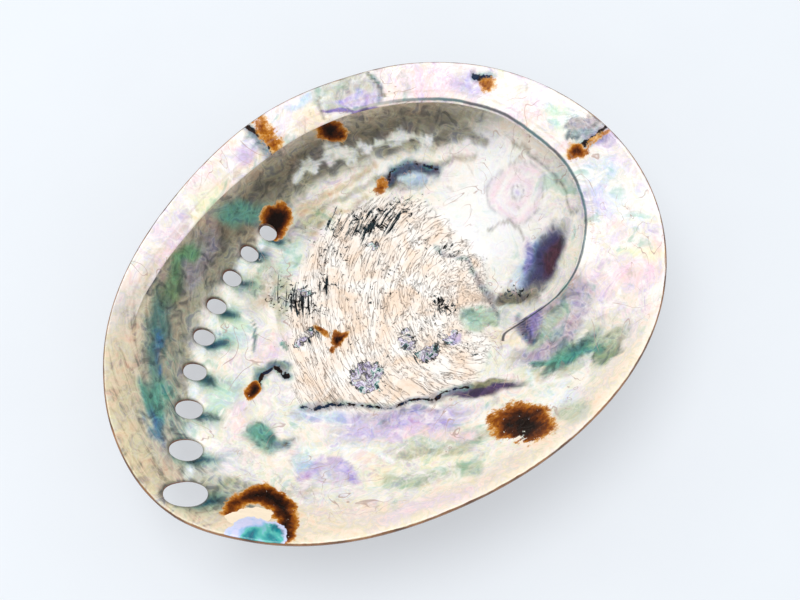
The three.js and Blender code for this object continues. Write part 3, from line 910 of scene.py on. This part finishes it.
def build_mesh():
    skin = Skin()
    for hole in HOLES:
        skin.open_hole(hole)
    mesh = bpy.data.meshes.new("abalone_shell")
    mesh.from_pydata((skin.points * MM).tolist(), [], skin.triangles.tolist())
    paint = Paint(skin)
    for name, values in paint.fields.items():
        mesh.attributes.new(name, "FLOAT", "POINT").data.foreach_set("value", values)
    tint = np.hstack([paint.tint, np.ones((len(paint.tint), 1))])
    mesh.attributes.new("tint", "FLOAT_COLOR", "POINT").data.foreach_set("color", tint.ravel())
    on_back = (skin.sides[skin.triangles] == BACK).any(1)
    mesh.polygons.foreach_set("material_index", on_back.astype(int))
    mesh.polygons.foreach_set("use_smooth", np.ones(len(on_back), bool))
    loose = set(range(len(skin.points))) - set(skin.triangles.ravel().tolist())
    remove_points(mesh, loose)
    return mesh


def remove_points(mesh, which):
    shape = bmesh.new()
    shape.from_mesh(mesh)
    shape.verts.ensure_lookup_table()
    bmesh.ops.delete(shape, geom=[shape.verts[i] for i in which], context="VERTS")
    shape.to_mesh(mesh)
    shape.free()


# ---- materials ----
class Graph:
    """The nodes of one material. A value is a number, a colour, a vector or another node's output."""

    def __init__(self, name):
        self.material = bpy.data.materials.new(name)
        self.material.use_nodes = True
        self.tree = self.material.node_tree
        self.tree.nodes.clear()
        self.shader = self.add("ShaderNodeBsdfPrincipled", {})
        output = self.add("ShaderNodeOutputMaterial", {"Surface": self.shader.outputs[0]})
        output.is_active_output = True
        place = self.add("ShaderNodeTexCoord", {}).outputs["Object"]
        self.place = self.vector("SCALE", place, scale=1 / MM)

    def add(self, kind, values, **settings):
        node = self.tree.nodes.new(kind)
        for name, value in settings.items():
            setattr(node, name, value)
        for name, value in values.items():
            self.put(node.inputs[name], value)
        return node

    def put(self, socket, value):
        if isinstance(value, bpy.types.NodeSocket):
            self.tree.links.new(value, socket)
        elif socket.type == "RGBA":
            socket.default_value = (*value[:3], 1)
        else:
            socket.default_value = value

    def surface(self, **values):
        for name, value in values.items():
            self.put(self.shader.inputs[name.replace("_", " ").title().replace("Ior", "IOR")], value)

    def math(self, operation, a, b=0.0, c=0.0):
        return self.add("ShaderNodeMath", {0: a, 1: b, 2: c}, operation=operation).outputs[0]

    def times(self, a, b):
        return self.math("MULTIPLY", a, b)

    def less(self, a, b):
        return self.math("SUBTRACT", a, b)

    def vector(self, operation, a, b=(0, 0, 0), scale=1.0):
        node = self.add("ShaderNodeVectorMath", {0: a, 1: b, 3: scale}, operation=operation)
        return node.outputs["Value" if operation == "LENGTH" else "Vector"]

    def field(self, name, output="Fac"):
        return self.add("ShaderNodeAttribute", {}, attribute_name=name).outputs[output]

    def noise(self, size, detail=3.0, rough=0.55, warp=0.0, place=None, shift=0.0):
        """Noise from 0 to 1 with lumps about size millimetres wide. Each shift gives another pattern."""
        at = place or self.place
        if shift:
            at = self.vector("ADD", at, (shift, shift * 0.7, -shift))
        values = {"Vector": at, "Scale": 1 / size, "Detail": detail, "Roughness": rough, "Distortion": warp}
        return self.add("ShaderNodeTexNoise", values).outputs["Fac"]

    def band(self, value, low, high, to_low=0.0, to_high=1.0):
        """A smooth step from to_low at low up to to_high at high."""
        values = {0: value, 1: low, 2: high, 3: to_low, 4: to_high}
        return self.add("ShaderNodeMapRange", values, interpolation_type="SMOOTHSTEP").outputs[0]

    def line(self, value, at, width):
        """1 where the value is close to at, 0 elsewhere."""
        return self.band(self.math("ABSOLUTE", self.less(value, at)), width, width * 0.25)

    def swing(self, size, detail, rough, warp, shift, depth):
        """Noise round 0, from about minus half of depth to half of depth."""
        return self.times(self.less(self.noise(size, detail, rough, warp, shift=shift), 0.5), depth)

    def ragged(self, name, size, depth, shift):
        """A field with its outline broken up by noise."""
        return self.math("ADD", self.field(name), self.swing(size, 5, 0.65, 0.0, shift, depth))

    def blend(self, share, a, b, kind="MIX"):
        node = self.add("ShaderNodeMix", {0: share, 6: a, 7: b}, data_type="RGBA", blend_type=kind)
        return node.outputs[2]

    def ramp(self, value, stops):
        """The colours that a value runs through. A stop is a position and a screen code."""
        node = self.add("ShaderNodeValToRGB", {0: value})
        while len(node.color_ramp.elements) < len(stops):
            node.color_ramp.elements.new(0.5)
        for element, (position, code) in zip(node.color_ramp.elements, stops):
            element.position = position
            element.color = (*colour(code), 1)
        return node.outputs[0]

    def bump(self, height, depth):
        """depth is in millimetres for a height of 1."""
        values = {"Height": height, "Distance": depth * MM, "Strength": 1.0}
        return self.add("ShaderNodeBump", values).outputs[0]

    def along(self, middle, stretch):
        """Coordinates that follow circles round a middle: a small stretch draws the noise out along them."""
        flat = self.vector("MULTIPLY", self.vector("SUBTRACT", self.place, (*middle, 0)), (1, 1, 0))
        reach = self.vector("LENGTH", flat)
        way = self.vector("SCALE", self.vector("NORMALIZE", flat), scale=stretch)
        parts = self.add("ShaderNodeSeparateXYZ", {0: way}).outputs
        return self.add("ShaderNodeCombineXYZ", {0: parts[0], 1: parts[1], 2: reach}).outputs[0]


# Colours that noise runs through, as positions and screen codes
PEARL_SHEEN = [
    (0.3, "FFE2EC"), (0.39, "FFF6E8"), (0.45, "FFFFFF"), (0.5, "EAF7E6"),
    (0.55, "E4F0FF"), (0.61, "FFFFFF"), (0.68, "EDE2FD"), (0.76, "FFEDE2"),
]
WALL_STREAKS = [(0.38, "8A8378"), (0.5, "FFFFFF"), (0.6, "FFFFFF"), (0.68, "B5B0A8")]
WATER = [
    (0.34, "1C4A63"), (0.42, "2F7F7A"), (0.47, "7FA893"), (0.52, "A89C92"),
    (0.58, "7E9A8E"), (0.64, "2E6E86"), (0.74, "B9AEA0"),
]
VEINS = [(0.36, "4A5560"), (0.45, "B8BCBA"), (0.5, "C8C4BC"), (0.56, "E4ECE4"), (0.66, "8A96B0")]
SWIRL = [
    (0.3, "9FD2C2"), (0.4, "FFFFFF"), (0.46, "FFF6E4"), (0.52, "FFFFFF"),
    (0.58, "F3E2F2"), (0.63, "FFFFFF"), (0.72, "CDBBE8"),
]
SCAR_SKIN = [(0.36, "F6DCC4"), (0.5, "FDF0E4"), (0.62, "FFFAF4")]
SCAR_STRANDS = [(0.42, "5A4638"), (0.55, "B98F6E")]
FLECK_BLACK = [(0.42, "0C0B0E"), (0.62, "24353C")]
WINDOW_PEARL = [
    (0.37, "0C0E12"), (0.42, "24525C"), (0.45, "8FBDB4"), (0.49, "F6F2F4"),
    (0.53, "C9BAE0"), (0.56, "2A343E"), (0.59, "D8D0C8"), (0.65, "FFF8F0"),
]
INK_HALO = [(0.42, "4D3A55"), (0.52, "2E5E86"), (0.6, "3E8A84")]
INK = [(0.4, "0A0A10"), (0.5, "2A1408"), (0.6, "10243E")]
STAIN_BROWN = [(0.0, "E6BC80"), (0.14, "BC761C"), (0.32, "84420C"), (0.55, "421C08"), (0.85, "150805")]
CHIP_PEARL = [(0.34, "12506E"), (0.42, "1E8F96"), (0.49, "5CBFB4"), (0.55, "9CC0E8"), (0.63, "D2D2F0")]
SHELF_LINE = [(0.42, "2A2C38"), (0.56, "235A60")]
RIM_BROWN = [(0.4, "5C3A22"), (0.6, "9A6A40")]
CRUST_BANDS = [(0.3, "3E2A20"), (0.42, "6F3F2A"), (0.5, "8B5A3C"), (0.58, "6E6647"), (0.7, "B49A7A")]
WORN_PEARL = [(0.35, "C9B6D8"), (0.45, "EFE6DA"), (0.55, "A9D3C4"), (0.68, "E9C9D2")]

# Single colours of the materials
CLOUD_WHITE, CLOUD_DIM, CONTOUR = colours("FFFBF6 A0968E B79A90")
FLECK_FRINGE, OUTLINE, CRUMB_CREAM = colours("6E8A92 131216 FBE9CF")
SPLINTER, SHELF_STEP = colours("CDD3F0 B59C88")
CRUST_RED, CRUST_LIME = colours("7E3F2C D9CBB6")


def pearl(g):
    """Nacre: the tint with pastel drift, streaks, veins and clouds."""
    drift = g.times(g.math("ADD", g.noise(15, 4, 0.55, 1.2), g.noise(5, 4, 0.6, 2.0, shift=30)), 0.5)
    body = g.blend(g.field("sheen"), g.field("tint", "Color"), g.ramp(drift, PEARL_SHEEN), "MULTIPLY")
    streaks = g.noise(2.2, 5, 0.6, 0.8, g.along((0, 0), 9.0))
    # Grey streaks along the wall under the shelf, over its taupe that is partly painted shade.
    body = g.blend(g.times(g.field("wall"), 0.4), body, g.ramp(streaks, WALL_STREAKS), "MULTIPLY")
    flowing = g.times(g.field("water"), g.band(g.noise(14, 3, 0.5, shift=17), 0.4, 0.58))
    body = g.blend(flowing, body, g.ramp(streaks, WATER))
    light = g.band(g.add("ShaderNodeRGBToBW", {0: body}).outputs[0], 0.3, 0.7)
    veins = g.ramp(g.noise(4.5, 3, 0.5, 1.0, shift=71), VEINS)
    body = g.blend(g.less(0.6, g.times(light, 0.45)), body, veins, "OVERLAY")
    return pearl_clouds(g, body, light)


def pearl_clouds(g, body, light):
    """White and dim clouds over the nacre, a swirl of pastels, and thin contour lines."""
    clouds = g.field("clouds")
    cloud = g.noise(8, 5, 0.6, 1.5, shift=70)
    white = g.times(g.times(g.band(cloud, 0.5, 0.66), light), g.times(clouds, 0.75))
    body = g.blend(white, body, CLOUD_WHITE)
    dim = g.times(g.band(cloud, 0.42, 0.3), g.times(clouds, 0.35))
    body = g.blend(dim, body, CLOUD_DIM)
    swirl = g.ramp(g.noise(12, 3, 0.5, 1.8, shift=64), SWIRL)
    body = g.blend(g.times(clouds, g.times(g.field("sheen"), 0.8)), body, swirl, "MULTIPLY")
    layers = g.math("FRACT", g.times(g.noise(24, 3, 0.5, 1.0, shift=11), 8.0))
    line = g.times(g.line(layers, 0.5, 0.035), g.band(g.noise(12, 2, shift=5), 0.44, 0.58))
    return g.blend(g.times(line, g.times(clouds, 0.8)), body, CONTOUR)


def scar_skin(g, body, arcs, strands):
    """The muscle scar: rough cream with strands along its arcs. Returns it with its dark flecks."""
    scar = g.field("scar")
    body = g.blend(g.times(scar, 0.92), body, g.ramp(g.noise(9, 4, 0.6, 0.5, shift=14), SCAR_SKIN))
    broken = g.math("MULTIPLY_ADD", g.band(g.noise(5, 4, 0.6, shift=19), 0.4, 0.6), 0.55, 0.1)
    dark = g.ramp(g.noise(6, 3, shift=91), SCAR_STRANDS)
    body = g.blend(g.times(g.times(strands, scar), broken), body, dark)
    amount = g.field("fleck")
    there = g.band(amount, 0.02, 0.2)
    flakes = g.less(g.noise(1.7, 5, 0.7, 1.0, arcs, 40), g.math("MULTIPLY_ADD", amount, -0.2, 0.71))
    blobs = g.less(g.noise(2.6, 5, 0.75, 1.5, shift=83), g.math("MULTIPLY_ADD", amount, -0.12, 0.66))
    fleck = g.times(g.math("MAXIMUM", g.band(flakes, 0.0, 0.02), g.band(blobs, 0.0, 0.02)), there)
    body = g.blend(g.times(g.band(flakes, -0.03, 0.0), g.times(there, 0.6)), body, FLECK_FRINGE)
    return g.blend(fleck, body, g.ramp(g.noise(3, 2, shift=90), FLECK_BLACK)), fleck


def scar_windows(g, body):
    """Places in the scar where nacre shows, each with a dark outline."""
    window = g.math("ADD", g.ragged("window", 4.5, 7.0, 23), g.swing(1.3, 4, 0.7, 0.0, 24, 3.0))
    inner = g.ramp(g.noise(4.5, 6, 0.66, 1.0, shift=37), WINDOW_PEARL)
    body = g.blend(g.band(window, 0.0, 0.25), body, inner)
    outline = g.times(g.line(window, 0.0, 0.35), g.band(g.noise(3, 2, shift=29), 0.42, 0.52))
    return g.blend(outline, body, OUTLINE)


def ink_lines(g, body):
    """Near-black lines with a blue and violet halo. Returns the colour and where the lines are."""
    ink = g.band(g.ragged("ink", 1.8, 2.6, 20), -0.05, 0.25)
    halo = g.times(g.band(g.ragged("ink", 3.5, 2.0, 26), -1.6, 0.2), 0.6)
    body = g.blend(halo, body, g.ramp(g.noise(4, 3, shift=50), INK_HALO))
    return g.blend(ink, body, g.ramp(g.noise(4, 3, shift=52), INK)), ink


def brown_stains(g, body):
    """Amber to near-black stains with lost flakes. Returns the colour and where it is dark."""
    stain = g.math("ADD", g.ragged("stain", 3.2, 2.2, 33), g.swing(1.2, 4, 0.7, 0.0, 34, 1.8))
    flakes = g.math("MULTIPLY_ADD", g.field("chipped"), 0.18, g.noise(2.6, 5, 0.7, shift=61))
    brown = g.times(g.band(stain, -0.15, 0.4), g.less(1.0, g.band(flakes, 0.66, 0.68)))
    depth = g.math("MULTIPLY_ADD", stain, 0.3, g.swing(5, 4, 0.6, 0.8, 35, 0.8))
    body = g.blend(brown, body, g.ramp(depth, STAIN_BROWN))
    return body, g.times(brown, g.band(stain, 0.2, 1.0))


def broken_flake(g, body):
    """The cream crumb and the blue-green nacre of a broken flake at the rim, edged with splinters."""
    body = g.blend(g.band(g.ragged("crumb", 1.6, 0.9, 41), 0.42, 0.5), body, CRUMB_CREAM)
    chip = g.ragged("chip", 1.6, 0.7, 43)
    inner = g.ramp(g.noise(8, 3, 0.5, 0.5, shift=3), CHIP_PEARL)
    chip_pearl = g.blend(g.band(chip, 0.95, 0.6), inner, SPLINTER)
    return g.blend(g.band(chip, 0.42, 0.5), body, chip_pearl)


def edge_lines(g, body):
    """The dark line on the shelf's inner edge, the faint step beside it, and the brown rim."""
    lip = g.times(g.line(g.ragged("shelf_edge", 5, 0.6, 47), 0.0, 0.7), g.field("edge_ink"))
    body = g.blend(g.times(lip, 0.9), body, g.ramp(g.noise(9, 3, shift=48), SHELF_LINE))
    step = g.times(g.line(g.ragged("shelf_edge", 7, 0.8, 49), 2.4, 0.5), 0.2)
    body = g.blend(step, body, SHELF_STEP)
    rim = g.band(g.ragged("rim_gap", 6, 0.8, 8), 0.7, 0.5)
    return g.blend(rim, body, g.ramp(g.noise(10, 3, shift=58), RIM_BROWN))


def nacre():
    g = Graph("nacre")
    scar = g.field("scar")
    arcs = g.along(SCAR_GROWTH, 7.0)
    grain = g.noise(1.9, 4, 0.6, 1.2, arcs)
    strands = g.line(grain, 0.5, 0.016)
    body, fleck = scar_skin(g, pearl(g), arcs, strands)
    body = scar_windows(g, body)
    body, ink = ink_lines(g, body)
    body, burnt = brown_stains(g, body)
    body = edge_lines(g, broken_flake(g, body))
    dark = g.math("MAXIMUM", g.math("MAXIMUM", ink, burnt), fleck)
    polish = g.math("MULTIPLY_ADD", scar, 0.22, g.band(g.noise(7, 3, shift=44), 0.3, 0.7, 0.16, 0.3))
    g.surface(base_color=body, roughness=polish, ior=1.5, specular_ior_level=g.less(0.5, g.times(dark, 0.4)))
    low = g.times(g.noise(5, 4, 0.55, 0.8, shift=9), g.less(1.0, scar))
    height = g.math("MULTIPLY_ADD", g.times(g.less(grain, strands), scar), 1.2, g.times(low, 0.8))
    g.surface(normal=g.bump(g.less(height, g.times(fleck, 0.7)), 0.4))
    return g.material


def crust():
    """The outer crust: brown and green growth bands, with red blotches, lime and a worn pearly spire."""
    g = Graph("crust")
    age = g.field("age")
    wander = g.math("MULTIPLY_ADD", g.noise(14, 4, 0.6), 0.09, age)
    row = g.add("ShaderNodeCombineXYZ", {0: wander}).outputs[0]
    bands = g.noise(1 / 34, 5, 0.65, place=row)
    body = g.ramp(bands, CRUST_BANDS)
    blotch = g.band(g.noise(11, 5, 0.65, 1.0, shift=18), 0.5, 0.66)
    body = g.blend(g.times(blotch, 0.6), body, CRUST_RED)
    lime = g.band(g.noise(5, 6, 0.7, 0.5, shift=77), 0.6, 0.68)
    body = g.blend(g.times(lime, 0.7), body, CRUST_LIME)
    worn = g.band(g.less(g.times(g.noise(7, 5, 0.65, shift=55), 0.5), age), -0.05, 0.03)
    body = g.blend(worn, body, g.ramp(g.noise(6, 4, 0.6, 1.5, shift=31), WORN_PEARL))
    g.surface(base_color=body, roughness=g.less(0.78, g.times(worn, 0.45)), ior=1.5)
    height = g.math("MULTIPLY_ADD", bands, 0.8, g.times(g.noise(1.6, 5, 0.65, shift=2), 0.6))
    g.surface(normal=g.bump(height, 0.6))
    return g.material


shell = bpy.data.objects.new("abalone_shell", build_mesh())
bpy.context.collection.objects.link(shell)
shell.data.materials.append(nacre())
shell.data.materials.append(crust())
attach(shell, "root")
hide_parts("shell")


# ---- studio, in metres ----
FLOOR_HALF = 6.0
FLOOR_SHADE = [(0.3, "ADB0B4"), (0.7, "B0B3B7")]
FLOOR_GLOW, FLOOR_GLOW_STRENGTH = (0.9, 0.95, 1.0, 1), 0.42  # keeps the shadows pale
SKY_COLOUR, SKY_STRENGTH = (0.96, 0.98, 1, 1), 0.84
KEY_SIZE, KEY_POWER = 0.6, 5.2
KEY_PLACE = {"up": 0.1, "right": -0.2, "height": 1.1}  # up and right as the camera sees the floor
CAMERA_AZIMUTH, CAMERA_ELEVATION = -30, 74
CAMERA_DISTANCE = 0.4
CAMERA_LENS, CAMERA_SENSOR = 60, 36  # millimetres
CAMERA_TARGET = Vector((3.0, -2.7, 40)) * MM


def studio_floor():
    mesh = bpy.data.meshes.new("studio_floor")
    corners = [(FLOOR_HALF * x, FLOOR_HALF * y, 0) for x, y in ((-1, -1), (1, -1), (1, 1), (-1, 1))]
    mesh.from_pydata(corners, [], [(0, 1, 2, 3)])
    g = Graph("studio_floor")
    g.surface(base_color=g.ramp(g.noise(60, 3), FLOOR_SHADE), roughness=0.75)
    g.surface(emission_color=FLOOR_GLOW, emission_strength=FLOOR_GLOW_STRENGTH)
    mesh.materials.append(g.material)
    floor = bpy.data.objects.new("studio_floor", mesh)
    bpy.context.collection.objects.link(floor)


def sky():
    world = bpy.data.worlds.new("studio")
    bpy.context.scene.world = world
    world.use_nodes = True
    background = world.node_tree.nodes["Background"]
    background.inputs["Color"].default_value = SKY_COLOUR
    background.inputs["Strength"].default_value = SKY_STRENGTH


def key_light():
    """A soft round lamp above the shell, which faces it."""
    turn = CAMERA_AZIMUTH * RAD
    up = Vector((-np.sin(turn), np.cos(turn), 0))
    right = Vector((np.cos(turn), np.sin(turn), 0))
    place = up * KEY_PLACE["up"] + right * KEY_PLACE["right"] + Vector((0, 0, KEY_PLACE["height"]))
    data = bpy.data.lights.new("key", "AREA")
    data.shape = "DISK"
    data.size = KEY_SIZE
    data.energy = KEY_POWER
    lamp = bpy.data.objects.new("key", data)
    lamp.location = place
    lamp.rotation_euler = place.to_track_quat("Z", "Y").to_euler()
    bpy.context.collection.objects.link(lamp)


def camera():
    data = bpy.data.cameras.new("camera")
    data.lens = CAMERA_LENS
    data.sensor_width = CAMERA_SENSOR
    turn, tilt = CAMERA_AZIMUTH * RAD, CAMERA_ELEVATION * RAD
    back = Vector((np.sin(turn) * np.cos(tilt), -np.cos(turn) * np.cos(tilt), np.sin(tilt)))
    made = bpy.data.objects.new("camera", data)
    made.location = CAMERA_TARGET + back * CAMERA_DISTANCE
    made.rotation_euler = back.to_track_quat("Z", "Y").to_euler()
    bpy.context.collection.objects.link(made)
    bpy.context.scene.camera = made


studio_floor()
sky()
camera()
key_light()
bpy.context.scene.view_settings.view_transform = "Standard"
